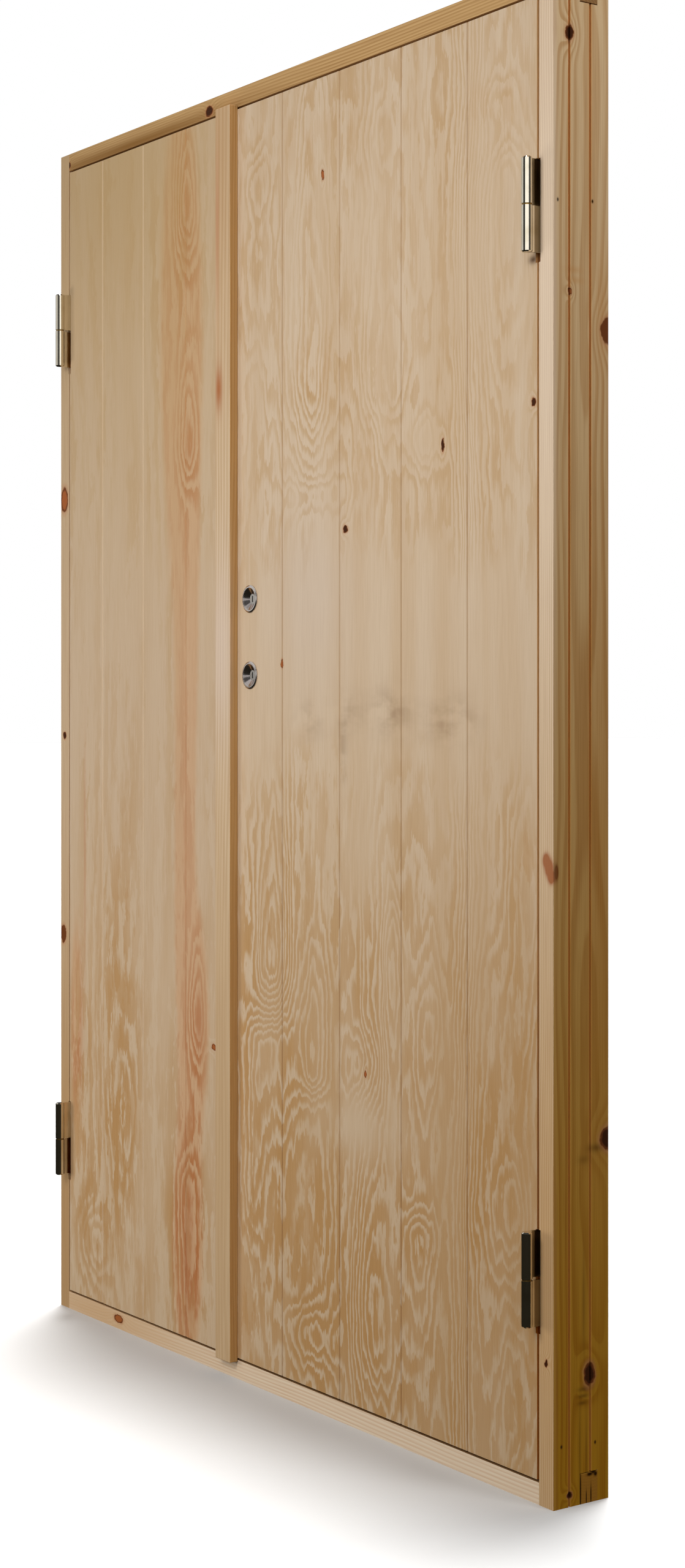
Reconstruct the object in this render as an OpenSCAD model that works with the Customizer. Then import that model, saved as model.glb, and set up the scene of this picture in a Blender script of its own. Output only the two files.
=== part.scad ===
// Pine pair door in its frame: a narrow passive leaf and a wide active leaf, faced with grooved
// plywood, hung on lift-off hinges. Millimetres, +Z up, front towards -Y, origin at the middle
// of the sill's underside.

/* [Frame] */
// Overall width of the frame
frame_w = 1190; // [1000:10:1500]
// Overall height of the frame
frame_h = 1790; // [1600:10:2200]
// Depth of the frame members, front to back
frame_d = 84; // [78:1:110]
// Width of each member's front face
face_w = 26; // [24:1:40]
// Height of the stop behind the leaves
stop_h = 14; // [12:1:20]
// Depth of the rebate that the leaves close into
rebate_d = 40; // [39:0.5:44]
// Width of the relief grooves in the outer faces
kerf_w = 3; // [2:0.5:4]
// Depth of the relief grooves
kerf_d = 7; // [3:0.5:8]
// Middle of the front relief groove, from the front
front_kerf_y = 24; // [22:0.5:30]
// Middle of the rear relief groove, from the front
rear_kerf_y = 56; // [50:0.5:64]
// Thickness of the through tenons
tenon_t = 27; // [20:1:30]
// Height of the through tenons
tenon_h = 35; // [25:1:36]
// Gap over each tenon in its slot
tenon_gap = 1.2; // [0.5:0.1:2]

/* [Leaves] */
// Gap between a leaf and the jamb at the hinges
side_gap = 3; // [3:0.5:8]
// Gap over and under the leaves
end_gap = 3; // [2:0.5:5]
// Gap between the two leaves at the front
meet_gap = 3; // [2.5:0.5:5]
// Meeting edge of the active leaf, left of the middle
meet_offset = 119; // [80:1:150]
// Thickness of a leaf
leaf_t = 37; // [34:1:38]
// How far the leaves stand proud of the frame
leaf_proud = 0.5; // [0.3:0.1:1]
// Thickness of the grooved front plywood
front_ply_t = 9; // [6:0.5:10]
// Thickness of the back plywood
back_ply_t = 6; // [4:0.5:7]
// How far the passive leaf's meeting edge is planed back at the rear
passive_bevel = 3; // [2:0.5:4]
// Width of the stiles
stile_w = 90; // [85:1:110]
// Height of the top and bottom rails
rail_h = 90; // [70:1:120]
// Height of the middle rail
mid_rail_h = 140; // [100:5:200]
// Middle of the middle rail above the floor
mid_rail_z = 1028; // [900:1:1150]
// Clearance round each insulation block
infill_clear = 0.5; // [0.2:0.1:2]

/* [Front grooves] */
// Width of a V groove
groove_w = 3.2; // [2:0.2:6]
// Depth of a V groove
groove_d = 1.8; // [1:0.1:3]
// First groove of the active leaf, from its hinge edge
active_groove_first = 132.5; // [60:0.5:150]
// Distance between grooves on the active leaf
active_groove_pitch = 135; // [100:1:140]
// Number of grooves on the active leaf
active_groove_count = 4; // [2:1:4]
// First groove of the passive leaf, from its hinge edge
passive_groove_first = 103; // [60:0.5:110]
// Distance between grooves on the passive leaf
passive_groove_pitch = 121; // [80:1:125]
// Number of grooves on the passive leaf
passive_groove_count = 3; // [2:1:3]

/* [Cover strip] */
// Width of the strip
strip_w = 38; // [25:1:42]
// Thickness of the strip
strip_t = 13; // [8:0.5:18]
// How far the strip reaches past the active leaf's edge
strip_lip = 1.5; // [0:0.1:1.5]
// How far the strip laps the head and the sill
strip_lap = 2; // [0:0.5:15]

/* [Hinges] */
// Height of a hinge
hinge_h = 111; // [100:1:130]
// Middle of the lower hinges above the floor
lower_hinge_z = 265; // [200:5:350]
// Middle of the upper hinges above the floor
upper_hinge_z = 1515; // [1350:5:1525]
// Hinge axis in front of the frame's front face
hinge_reach = 17; // [14:0.5:24]
// Diameter of a knuckle
knuckle_d = 13.5; // [12:0.1:14]
// Diameter of a hinge pin
pin_d = 7; // [6:0.1:7.5]
// Radial clearance of a pin in its turning knuckle
pin_run_clear = 0.05; // [0.03:0.01:0.1]
// Radial clearance of a pin in its fixed knuckle
pin_seat_clear = 0.02; // [0.01:0.01:0.05]
// Thickness of a hinge plate
plate_t = 2.5; // [2:0.1:3]
// Depth of a hinge plate in the wood, from the front
plate_in = 28; // [22:0.5:29]
// How far a hinge's mortise runs on below it
mortise_tail = 10; // [0.5:0.5:15]
// Thickness of the bearing washer
washer_t = 2; // [1:0.1:3]
// Free play over the bearing washer
washer_play = 0.1; // [0.05:0.05:0.3]
// Closed end of a knuckle
knuckle_cap = 6; // [4:0.5:10]
// Height of the chamfer at a knuckle's end
knuckle_chamfer = 1.5; // [0.5:0.1:2]

/* [Screws] */
// Diameter of a screw's shank
screw_d = 4; // [3:0.1:4.5]
// Length of a screw with its head
screw_len = 18; // [15:0.5:19]
// Diameter of a screw's head
screw_head_d = 7.6; // [6.5:0.1:8]
// Height of a screw's countersunk head
screw_head_h = 1.8; // [1.2:0.1:1.9]
// Clearance round a screw
screw_clear = 0.05; // [0.03:0.01:0.1]

/* [Lock] */
// Distance of the lock's cylinders from the active leaf's edge
backset = 68; // [55:1:70]
// Distance between the two cylinders
cylinder_pitch = 105; // [80:1:120]
// Middle of the lock above the floor
lock_z = 1028; // [950:1:1100]
// Thickness of the lock case
case_t = 15; // [14:0.5:18]
// Height of the lock case
case_h = 175; // [160:1:190]
// Depth of the case behind the cylinders
case_back = 16; // [10:0.5:18]
// Thickness of the lock's faceplate
faceplate_t = 3; // [2.5:0.1:3.5]
// Height of the faceplate
faceplate_h = 235; // [220:1:260]
// Width of the plates on the meeting edges
edge_plate_w = 20; // [18:0.5:21]
// Thickness of a dead bolt
bolt_t = 10; // [8:0.5:11]
// Height of a dead bolt
bolt_h = 26; // [20:1:30]
// Length of a dead bolt
bolt_len = 44; // [35:1:45]
// Throw of a dead bolt
bolt_throw = 18; // [14:1:20]
// Clearance round sliding bolts
bolt_clear = 0.4; // [0.3:0.1:0.8]
// Diameter of a lock cylinder
cylinder_d = 28; // [24:0.5:30]
// Outer diameter of a cylinder ring
ring_d = 38; // [34:0.5:44]
// Height of a cylinder ring on the leaf's face
ring_h = 2; // [1.5:0.5:6]
// Taper of a ring from its foot to its rim
ring_taper = 2; // [1:0.1:3]
// Depth of the dish in a cylinder's face
dish_depth = 5; // [1:0.5:6]
// Diameter of a lock plug
plug_d = 14; // [12:0.5:16]
// Radial clearance of a plug in its cylinder
plug_clear = 0.05; // [0.03:0.01:0.1]
// Diameter of a plug's tail
tail_d = 8; // [6:0.5:10]
// Length of a plug's tail in the lock case
tail_len = 9; // [6:0.5:11]
// Width of a key slot
key_w = 2.2; // [1.5:0.1:3]
// Height of a key slot
key_h = 8.5; // [6:0.5:10]
// Depth of a key slot
key_depth = 7; // [4:0.5:8]

/* [Edge bolts and keeps] */
// Diameter of an edge bolt
rod_d = 9; // [8:0.5:10]
// Length of an edge bolt
rod_len = 160; // [130:5:200]
// Middle of an edge bolt behind its plate
rod_inset = 25; // [25:0.5:30]
// Travel of an edge bolt
rod_travel = 15; // [10:1:16]
// Thickness of the strike plate, bolt plates and keeps
keep_t = 2.5; // [2:0.1:3]
// Height of the strike plate
strike_h = 190; // [180:1:220]
// Height of an edge bolt's plate
bolt_plate_h = 80; // [70:1:100]
// Length of a keep
keep_len = 56; // [50:1:80]
// Width of an edge bolt's thumb piece
thumb_w = 6; // [5:0.5:7]
// Height of an edge bolt's thumb piece
thumb_h = 10; // [8:0.5:12]
// Clearance of an edge bolt in its keep
keep_clear = 1; // [0.5:0.1:1.5]

/* [Seals] */
// Radius of the half-round rebate seals
seal_r = 3.2; // [2.5:0.1:3.3]

/* [Hidden] */
overrun = 1;
left = -1;
right = 1;

// Frame planes
x_out = frame_w / 2;
member_w = face_w + stop_h;
x_lip = x_out - face_w;
x_stop = x_out - member_w;
y_front = -frame_d / 2;
y_stop = y_front + rebate_d;

// Leaf planes
x_leaf = x_lip - side_gap;
meet_right = -meet_offset;
meet_left = meet_right - meet_gap;
leaf_y = y_front - leaf_proud;
leaf_low = face_w + end_gap;
leaf_high = frame_h - face_w - end_gap;
core_t = leaf_t - front_ply_t - back_ply_t;
core_mid_y = leaf_y + front_ply_t + core_t / 2;
mid_rail_low = mid_rail_z - mid_rail_h / 2;
mid_rail_high = mid_rail_z + mid_rail_h / 2;

// Hinge places
hinge_zs = [lower_hinge_z, upper_hinge_z];
axis_x = x_lip - side_gap / 2;
axis_y = y_front - hinge_reach;
half_h = (hinge_h - washer_t - washer_play) / 2;
half_mid = (hinge_h - half_h) / 2;
washer_d = knuckle_d - knuckle_chamfer;
mortise_clear = 0.5;
hinge_screw_depth_share = 0.54;
hinge_screw_y = y_front + hinge_screw_depth_share * plate_in;
hinge_screw_share = 0.3;
pin_end_clear = 1;
tip_share = 0.25;

// Lock places
lock_x = meet_right + backset;
lock_zs = [lock_z + cylinder_pitch / 2, lock_z - cylinder_pitch / 2];
case_y = core_mid_y - case_t / 2;
hub_clear = 0.3;
cylinder_clear = 0.5;
edge_screw_inset = 12;
faceplate_screw_share = 0.6;
faceplate_screw_z = case_h / 2 + faceplate_screw_share * (faceplate_h - case_h) / 2;
cylinder_recess = 1;
plug_end_clear = 0.1;
rim_share = 0.5;

// Passive leaf's edge plates, seated behind the planed edge
edge_seat = passive_bevel * (core_mid_y - leaf_y + edge_plate_w / 2) / leaf_t;
edge_x = meet_left - edge_seat;
rod_x = edge_x - rod_inset;
thumb_z = leaf_high - rod_len + thumb_h;
thumb_inset = 0.5;
strike_pocket = bolt_throw + keep_t;

// Colours
pine = [0.80, 0.66, 0.46];
plywood = [0.84, 0.72, 0.54];
inner_wood = [0.76, 0.62, 0.44];
foam = [0.93, 0.92, 0.86];
rubber = [0.16, 0.15, 0.14];
zinc = [0.70, 0.71, 0.72];
polished = [0.78, 0.78, 0.79];
dark_steel = [0.45, 0.45, 0.47];
brass = [0.77, 0.62, 0.32];

$fn = 48;

function hinge_edge(s) = s * x_leaf;
function meet_edge(s) = s == left ? meet_left : meet_right;
function bevel(s) = s == left ? passive_bevel : 0;

// A box between two corners, given in any order
module span(a, b) {
    low = [for (i = [0:2]) min(a[i], b[i])];
    high = [for (i = [0:2]) max(a[i], b[i])];
    translate(low) cube(high - low);
}

// Draws what is made for the left side on the side asked for
module handed(s) {
    if (s == left) children();
    else mirror([1, 0, 0]) children();
}

// Draws what is made for the top end at the bottom end
module upside_down() {
    translate([0, 0, frame_h]) mirror([0, 0, 1]) children();
}

// A countersunk wood screw, head at the origin, shank down
module wood_screw(clear = 0) {
    shank_d = screw_d + 2 * clear;
    tip_h = screw_len * tip_share;
    translate([0, 0, -screw_head_h])
        cylinder(d1 = shank_d, d2 = screw_head_d + 2 * clear, h = screw_head_h);
    translate([0, 0, tip_h - screw_len]) cylinder(d = shank_d, h = screw_len - tip_h - screw_head_h);
    translate([0, 0, -screw_len - clear]) cylinder(d1 = screw_d * tip_share, d2 = shank_d, h = tip_h + clear);
}

// Screw places, where children are drawn with their heads on the outside
module hinge_screw_places(half, x, turn) {
    for (z = hinge_zs, d = [-1, 1])
        translate([x, hinge_screw_y, z + half * half_mid + d * half_h * hinge_screw_share])
            rotate([0, turn, 0]) children();
}

module frame_hinge_screw_places(s) {
    hinge_screw_places(-1, s * x_lip, -s * 90) children();
}

module leaf_hinge_screw_places(s) {
    hinge_screw_places(1, hinge_edge(s), s * 90) children();
}

module keep_screw_places() {
    for (d = [-1, 1])
        translate([rod_x + d * (keep_len / 2 - edge_screw_inset), core_mid_y, frame_h - face_w])
            rotate([180, 0, 0]) children();
}

module bolt_plate_screw_places() {
    for (d = [-1, 1])
        translate([edge_x, core_mid_y, plate_mid_z() + d * (bolt_plate_h / 2 - edge_screw_inset)])
            rotate([0, 90, 0]) children();
}

module strike_screw_places() {
    for (d = [-1, 1])
        translate([edge_x, core_mid_y, lock_z + d * (strike_h / 2 - edge_screw_inset)])
            rotate([0, 90, 0]) children();
}

module faceplate_screw_places() {
    for (d = [-1, 1])
        translate([meet_right, core_mid_y, lock_z + d * faceplate_screw_z])
            rotate([0, -90, 0]) children();
}

// Frame members share one rebated section, drawn as depth by height above the outer face
module frame_section() {
    difference() {
        polygon([
            [0, 0], [0, face_w], [rebate_d, face_w],
            [rebate_d, member_w], [frame_d, member_w], [frame_d, 0]
        ]);
        for (y = [front_kerf_y, rear_kerf_y])
            translate([y - kerf_w / 2, -overrun]) square([kerf_w, kerf_d + overrun]);
    }
}

module hinge_mortise(x_low, x_high) {
    for (z = hinge_zs)
        span([x_low, leaf_y - overrun, z - hinge_h / 2 - mortise_tail],
             [x_high, y_front + plate_in + mortise_clear, z + hinge_h / 2 + mortise_clear]);
}

module tenon_slot() {
    span([-x_out - overrun, y_stop, -overrun],
         [-x_stop + overrun, y_stop + tenon_t, tenon_h + tenon_gap]);
}

module jamb(s) {
    color(pine) handed(s) difference() {
        translate([-x_out, y_front, 0]) mirror([1, -1, 0]) linear_extrude(height = frame_h) frame_section();
        tenon_slot();
        upside_down() tenon_slot();
        hinge_mortise(-x_lip - plate_t, -x_lip + overrun);
        frame_hinge_screw_places(left) wood_screw(screw_clear);
    }
}

module section_run(half_len, y_low, y_high) {
    intersection() {
        translate([-half_len, y_front, 0])
            rotate([90, 0, 90]) linear_extrude(height = 2 * half_len) frame_section();
        span([-half_len, y_low, 0], [half_len, y_high, member_w]);
    }
}

// A member between the jambs, coped round their rebates, with its through tenons
module cross_member() {
    union() {
        section_run(x_lip, y_front, y_stop);
        section_run(x_stop, y_stop, -y_front);
        difference() {
            span([-x_out, y_stop, 0], [x_out, y_stop + tenon_t, tenon_h]);
            span([-x_stop, y_stop - overrun, -overrun],
                 [x_stop, y_stop + tenon_t + overrun, tenon_h + overrun]);
        }
    }
}

// Square hole for an edge bolt, up from the underside of the head and out at its top
module keep_hole(depth) {
    half = rod_d / 2 + keep_clear;
    span([rod_x - half, core_mid_y - half, frame_h - face_w - overrun],
         [rod_x + half, core_mid_y + half, frame_h - face_w + depth]);
}

module keep_cut() {
    span([rod_x - keep_len / 2, core_mid_y - edge_plate_w / 2, frame_h - face_w - overrun],
         [rod_x + keep_len / 2, core_mid_y + edge_plate_w / 2, frame_h - face_w + keep_t]);
    keep_hole(face_w + overrun);
    keep_screw_places() wood_screw(screw_clear);
}

module head() {
    color(pine) difference() {
        upside_down() cross_member();
        keep_cut();
    }
}

module sill() {
    color(pine) difference() {
        cross_member();
        upside_down() keep_cut();
    }
}

// Rebate seals, half round, stuck to the stops behind the leaves
module seal_run(length) {
    linear_extrude(height = length) intersection() {
        circle(r = seal_r);
        translate([-seal_r, -seal_r]) square([2 * seal_r, seal_r]);
    }
}

module jamb_seal(s) {
    color(rubber) handed(s)
        translate([-(x_stop + x_leaf) / 2, y_stop, member_w]) seal_run(frame_h - 2 * member_w);
}

module cross_seal() {
    translate([-x_stop, y_stop, (member_w + leaf_low) / 2]) rotate([0, 90, 0]) seal_run(2 * x_stop);
}

module seal_sill() {
    color(rubber) cross_seal();
}

module seal_head() {
    color(rubber) upside_down() cross_seal();
}

// The full block of a leaf, and the layers that it is made of
module leaf_blank(s) {
    translate([0, leaf_y, leaf_low]) linear_extrude(height = leaf_high - leaf_low) polygon([
        [hinge_edge(s), 0], [meet_edge(s), 0],
        [meet_edge(s) + s * bevel(s), leaf_t], [hinge_edge(s), leaf_t]
    ]);
}

module layer(from, to) {
    span([-x_out, leaf_y + from, 0], [x_out, leaf_y + to, frame_h]);
}

module core_layer() {
    layer(front_ply_t, leaf_t - back_ply_t);
}

module leaf_hinge_mortise(s) {
    hinge_mortise(hinge_edge(s) - s * plate_t, hinge_edge(s) + s * overrun);
}

module groove(x) {
    translate([x, leaf_y, leaf_low - overrun]) linear_extrude(height = leaf_high - leaf_low + 2 * overrun)
        polygon([[-groove_w / 2, 0], [0, groove_d], [groove_w / 2, 0], [groove_w / 2, -overrun],
                 [-groove_w / 2, -overrun]]);
}

module grooves(s) {
    first = s == left ? passive_groove_first : active_groove_first;
    pitch = s == left ? passive_groove_pitch : active_groove_pitch;
    count = s == left ? passive_groove_count : active_groove_count;
    for (i = [0 : count - 1]) groove(hinge_edge(s) - s * (first + i * pitch));
}

module cylinder_holes(y_low, y_high) {
    for (z = lock_zs)
        translate([lock_x, y_low, z]) rotate([-90, 0, 0])
            cylinder(d = cylinder_d + 2 * cylinder_clear, h = y_high - y_low);
}

module front_panel(s) {
    color(plywood) difference() {
        intersection() {
            leaf_blank(s);
            layer(-overrun, front_ply_t);
        }
        grooves(s);
        leaf_hinge_mortise(s);
        if (s == right) cylinder_holes(leaf_y - overrun, leaf_y + front_ply_t + overrun);
    }
}

module back_panel(s) {
    color(plywood) intersection() {
        leaf_blank(s);
        layer(leaf_t - back_ply_t, leaf_t + overrun);
    }
}

module hinge_stile(s) {
    color(inner_wood) difference() {
        intersection() {
            leaf_blank(s);
            core_layer();
            span([hinge_edge(s), leaf_y, 0], [hinge_edge(s) - s * stile_w, leaf_y + leaf_t, frame_h]);
        }
        leaf_hinge_mortise(s);
        leaf_hinge_screw_places(s) wood_screw(screw_clear);
    }
}

module meeting_stile_blank(s) {
    intersection() {
        leaf_blank(s);
        core_layer();
        span([meet_edge(s), leaf_y, 0], [meet_edge(s) + s * stile_w, leaf_y + leaf_t, frame_h]);
    }
}

module passive_meeting_stile() {
    color(inner_wood) difference() {
        meeting_stile_blank(left);
        span([edge_x - keep_t, core_mid_y - edge_plate_w / 2, lock_z - strike_h / 2],
             [meet_left + overrun, core_mid_y + edge_plate_w / 2, lock_z + strike_h / 2]);
        for (z = lock_zs) bolt_passage(z, meet_left - strike_pocket, meet_left + overrun, keep_clear);
        strike_screw_places() wood_screw(screw_clear);
        edge_bolt_cut();
        upside_down() edge_bolt_cut();
    }
}

module active_meeting_stile() {
    color(inner_wood) difference() {
        meeting_stile_blank(right);
        span([meet_right - overrun, core_mid_y - edge_plate_w / 2, lock_z - faceplate_h / 2],
             [meet_right + faceplate_t, core_mid_y + edge_plate_w / 2, lock_z + faceplate_h / 2]);
        span([meet_right, case_y, lock_z - case_h / 2],
             [lock_x + case_back, case_y + case_t, lock_z + case_h / 2]);
        cylinder_holes(leaf_y, case_y + overrun);
        faceplate_screw_places() wood_screw(screw_clear);
    }
}

module rail(s, z_low, z_high) {
    color(inner_wood) intersection() {
        core_layer();
        span([hinge_edge(s) - s * stile_w, leaf_y, z_low],
             [meet_edge(s) + s * stile_w, leaf_y + leaf_t, z_high]);
    }
}

module top_rail(s) {
    rail(s, leaf_high - rail_h, leaf_high);
}

module mid_rail(s) {
    rail(s, mid_rail_low, mid_rail_high);
}

module bottom_rail(s) {
    rail(s, leaf_low, leaf_low + rail_h);
}

// Insulation blocks between the rails
module infill_block(s, z_low, z_high) {
    span([hinge_edge(s) - s * (stile_w + infill_clear), leaf_y + front_ply_t, z_low + infill_clear],
         [meet_edge(s) + s * (stile_w + infill_clear), leaf_y + leaf_t - back_ply_t, z_high - infill_clear]);
}

module infill(s) {
    color(foam) {
        infill_block(s, leaf_low + rail_h, mid_rail_low);
        infill_block(s, mid_rail_high, leaf_high - rail_h);
    }
}

module cover_strip() {
    color(pine)
        span([meet_right - strip_lip, leaf_y - strip_t, face_w - strip_lap],
             [meet_right - strip_lip + strip_w, leaf_y, frame_h - face_w + strip_lap]);
}

// Lift-off hinge: the upper half is on the leaf, the lower half and its pin on the frame
module knuckle_half(bore_clear) {
    difference() {
        union() {
            cylinder(d = knuckle_d, h = half_h - knuckle_chamfer);
            translate([0, 0, half_h - knuckle_chamfer])
                cylinder(d1 = knuckle_d, d2 = knuckle_d - 2 * knuckle_chamfer, h = knuckle_chamfer);
            children();
        }
        translate([0, 0, -overrun])
            cylinder(d = pin_d + 2 * bore_clear, h = half_h - knuckle_cap + overrun);
    }
}

module hinge_leaf_half(s, z) {
    color(zinc) handed(s) translate([-axis_x, axis_y, z + hinge_h / 2 - half_h])
        knuckle_half(pin_run_clear)
            span([axis_x - x_leaf, 0, 0], [axis_x - x_leaf + plate_t, hinge_reach + plate_in, half_h]);
}

module hinge_frame_half(s, z) {
    color(zinc) handed(s) translate([-axis_x, axis_y, z - hinge_h / 2 + half_h]) mirror([0, 0, 1])
        knuckle_half(pin_seat_clear)
            span([axis_x - x_lip - plate_t, 0, 0], [axis_x - x_lip, hinge_reach + plate_in, half_h]);
}

module hinge_leaf(s, z) {
    difference() {
        hinge_leaf_half(s, z);
        leaf_hinge_screw_places(s) wood_screw(screw_clear);
    }
}

module hinge_frame(s, z) {
    difference() {
        hinge_frame_half(s, z);
        frame_hinge_screw_places(s) wood_screw(screw_clear);
    }
}

module hinge_pin(s, z) {
    pin_low = z - hinge_h / 2 + knuckle_cap;
    pin_len = hinge_h - 2 * knuckle_cap - pin_end_clear;
    tip_h = pin_d * tip_share;
    color(polished) handed(s) translate([-axis_x, axis_y, pin_low]) {
        cylinder(d = pin_d, h = pin_len - tip_h);
        translate([0, 0, pin_len - tip_h]) cylinder(d1 = pin_d, d2 = pin_d - 2 * tip_h, h = tip_h);
    }
}

module hinge_washers() {
    color(brass) for (s = [left, right], z = hinge_zs)
        translate([s * axis_x, axis_y, z - hinge_h / 2 + half_h]) difference() {
            cylinder(d = washer_d, h = washer_t);
            translate([0, 0, -overrun]) cylinder(d = pin_d + 2 * pin_run_clear, h = washer_t + 2 * overrun);
        }
}

module frame_screws() {
    color(zinc) {
        for (s = [left, right]) frame_hinge_screw_places(s) wood_screw();
        keep_screw_places() wood_screw();
        upside_down() keep_screw_places() wood_screw();
    }
}

module left_leaf_screws() {
    color(zinc) {
        leaf_hinge_screw_places(left) wood_screw();
        strike_screw_places() wood_screw();
        bolt_plate_screw_places() wood_screw();
        upside_down() bolt_plate_screw_places() wood_screw();
    }
}

module right_leaf_screws() {
    color(zinc) {
        leaf_hinge_screw_places(right) wood_screw();
        faceplate_screw_places() wood_screw();
    }
}

// Lock in the active leaf: two dead bolts, each thrown by its own cylinder
module bolt_passage(z, x_low, x_high, clear) {
    span([x_low, core_mid_y - bolt_t / 2 - clear, z - bolt_h / 2 - clear],
         [x_high, core_mid_y + bolt_t / 2 + clear, z + bolt_h / 2 + clear]);
}

module lock_case() {
    color(dark_steel) difference() {
        span([meet_right + faceplate_t, case_y, lock_z - case_h / 2],
             [lock_x + case_back, case_y + case_t, lock_z + case_h / 2]);
        for (z = lock_zs) {
            bolt_passage(z, meet_right, meet_right + bolt_len + bolt_clear, bolt_clear);
            translate([lock_x, case_y - overrun, z]) rotate([-90, 0, 0])
                cylinder(d = tail_d + 2 * hub_clear, h = tail_len + hub_clear + overrun);
        }
    }
}

module lock_faceplate() {
    color(zinc) difference() {
        span([meet_right, core_mid_y - edge_plate_w / 2, lock_z - faceplate_h / 2],
             [meet_right + faceplate_t, core_mid_y + edge_plate_w / 2, lock_z + faceplate_h / 2]);
        for (z = lock_zs) bolt_passage(z, meet_right - overrun, meet_right + faceplate_t + overrun, bolt_clear);
        faceplate_screw_places() wood_screw(screw_clear);
    }
}

module dead_bolt(z) {
    color(polished) bolt_passage(z, meet_right, meet_right + bolt_len, 0);
}

module facing(z, y) {
    translate([lock_x, y, z]) rotate([90, 0, 0]) children();
}

module cylinder_ring(z) {
    bore_r = cylinder_d / 2 + plug_clear;
    rim_r = ring_d / 2 - ring_taper;
    lip_r = bore_r + (rim_r - bore_r) * rim_share;
    color(polished) facing(z, leaf_y) rotate_extrude() polygon([
        [bore_r, 0], [ring_d / 2, 0], [ring_d / 2, ring_h * rim_share], [rim_r, ring_h],
        [lip_r, ring_h], [bore_r, ring_h - cylinder_recess]
    ]);
}

module lock_cylinder(z) {
    bore_r = plug_d / 2 + plug_clear;
    length = case_y - leaf_y + ring_h - cylinder_recess;
    color(polished) facing(z, case_y) rotate_extrude() polygon([
        [bore_r, 0], [cylinder_d / 2, 0], [cylinder_d / 2, length], [bore_r, length - dish_depth]
    ]);
}

module lock_plug(z) {
    length = case_y - leaf_y + ring_h - cylinder_recess - dish_depth;
    color(dark_steel) facing(z, case_y) difference() {
        union() {
            translate([0, 0, plug_end_clear]) cylinder(d = plug_d, h = length - plug_end_clear);
            translate([0, 0, -tail_len]) cylinder(d = tail_d, h = tail_len + overrun);
        }
        span([-key_w / 2, -key_h / 2, length - key_depth], [key_w / 2, key_h / 2, length + overrun]);
    }
}

// Strike plate and edge bolts of the passive leaf
module edge_plate(z_low, z_high) {
    span([edge_x - keep_t, core_mid_y - edge_plate_w / 2, z_low], [edge_x, core_mid_y + edge_plate_w / 2, z_high]);
}

module strike_plate() {
    color(zinc) difference() {
        edge_plate(lock_z - strike_h / 2, lock_z + strike_h / 2);
        for (z = lock_zs) bolt_passage(z, edge_x - keep_t - overrun, edge_x + overrun, keep_clear);
        strike_screw_places() wood_screw(screw_clear);
    }
}

function plate_mid_z() = thumb_z + rod_travel / 2;

module thumb_slot() {
    span([rod_x, core_mid_y - thumb_w / 2 - bolt_clear, thumb_z - thumb_h / 2 - bolt_clear],
         [meet_left + overrun, core_mid_y + thumb_w / 2 + bolt_clear,
          thumb_z + thumb_h / 2 + rod_travel + bolt_clear]);
}

module edge_bolt_cut() {
    translate([rod_x, core_mid_y, leaf_high - rod_len - overrun])
        cylinder(d = rod_d + 2 * bolt_clear, h = rod_len + 2 * overrun);
    thumb_slot();
    span([edge_x - keep_t, core_mid_y - edge_plate_w / 2, plate_mid_z() - bolt_plate_h / 2],
         [meet_left + overrun, core_mid_y + edge_plate_w / 2, plate_mid_z() + bolt_plate_h / 2]);
    bolt_plate_screw_places() wood_screw(screw_clear);
}

module edge_bolt() {
    translate([rod_x, core_mid_y, leaf_high - rod_len]) cylinder(d = rod_d, h = rod_len);
    span([rod_x, core_mid_y - thumb_w / 2, thumb_z - thumb_h / 2],
         [edge_x - thumb_inset, core_mid_y + thumb_w / 2, thumb_z + thumb_h / 2]);
}

module edge_bolt_plate() {
    difference() {
        edge_plate(plate_mid_z() - bolt_plate_h / 2, plate_mid_z() + bolt_plate_h / 2);
        thumb_slot();
        bolt_plate_screw_places() wood_screw(screw_clear);
    }
}

module keep() {
    difference() {
        span([rod_x - keep_len / 2, core_mid_y - edge_plate_w / 2, frame_h - face_w],
             [rod_x + keep_len / 2, core_mid_y + edge_plate_w / 2, frame_h - face_w + keep_t]);
        keep_hole(keep_t + overrun);
        keep_screw_places() wood_screw(screw_clear);
    }
}

module top_edge_bolt() {
    color(polished) edge_bolt();
}

module bottom_edge_bolt() {
    color(polished) upside_down() edge_bolt();
}

module top_bolt_plate() {
    color(zinc) edge_bolt_plate();
}

module bottom_bolt_plate() {
    color(zinc) upside_down() edge_bolt_plate();
}

module top_keep() {
    color(zinc) keep();
}

module bottom_keep() {
    color(zinc) upside_down() keep();
}

jamb(left);  // jamb_left
jamb(right);  // jamb_right
head();
sill();
jamb_seal(left);  // seal_left
jamb_seal(right);  // seal_right
seal_head();
seal_sill();
front_panel(left);  // left_front_panel
back_panel(left);  // left_back_panel
hinge_stile(left);  // left_hinge_stile
passive_meeting_stile();  // left_meeting_stile
top_rail(left);  // left_top_rail
mid_rail(left);  // left_mid_rail
bottom_rail(left);  // left_bottom_rail
infill(left);  // left_infill
front_panel(right);  // right_front_panel
back_panel(right);  // right_back_panel
hinge_stile(right);  // right_hinge_stile
active_meeting_stile();  // right_meeting_stile
top_rail(right);  // right_top_rail
mid_rail(right);  // right_mid_rail
bottom_rail(right);  // right_bottom_rail
infill(right);  // right_infill
cover_strip();
hinge_leaf(left, lower_hinge_z);  // left_lower_hinge_leaf
hinge_frame(left, lower_hinge_z);  // left_lower_hinge_frame
hinge_pin(left, lower_hinge_z);  // left_lower_hinge_pin
hinge_leaf(left, upper_hinge_z);  // left_upper_hinge_leaf
hinge_frame(left, upper_hinge_z);  // left_upper_hinge_frame
hinge_pin(left, upper_hinge_z);  // left_upper_hinge_pin
hinge_leaf(right, lower_hinge_z);  // right_lower_hinge_leaf
hinge_frame(right, lower_hinge_z);  // right_lower_hinge_frame
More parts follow.
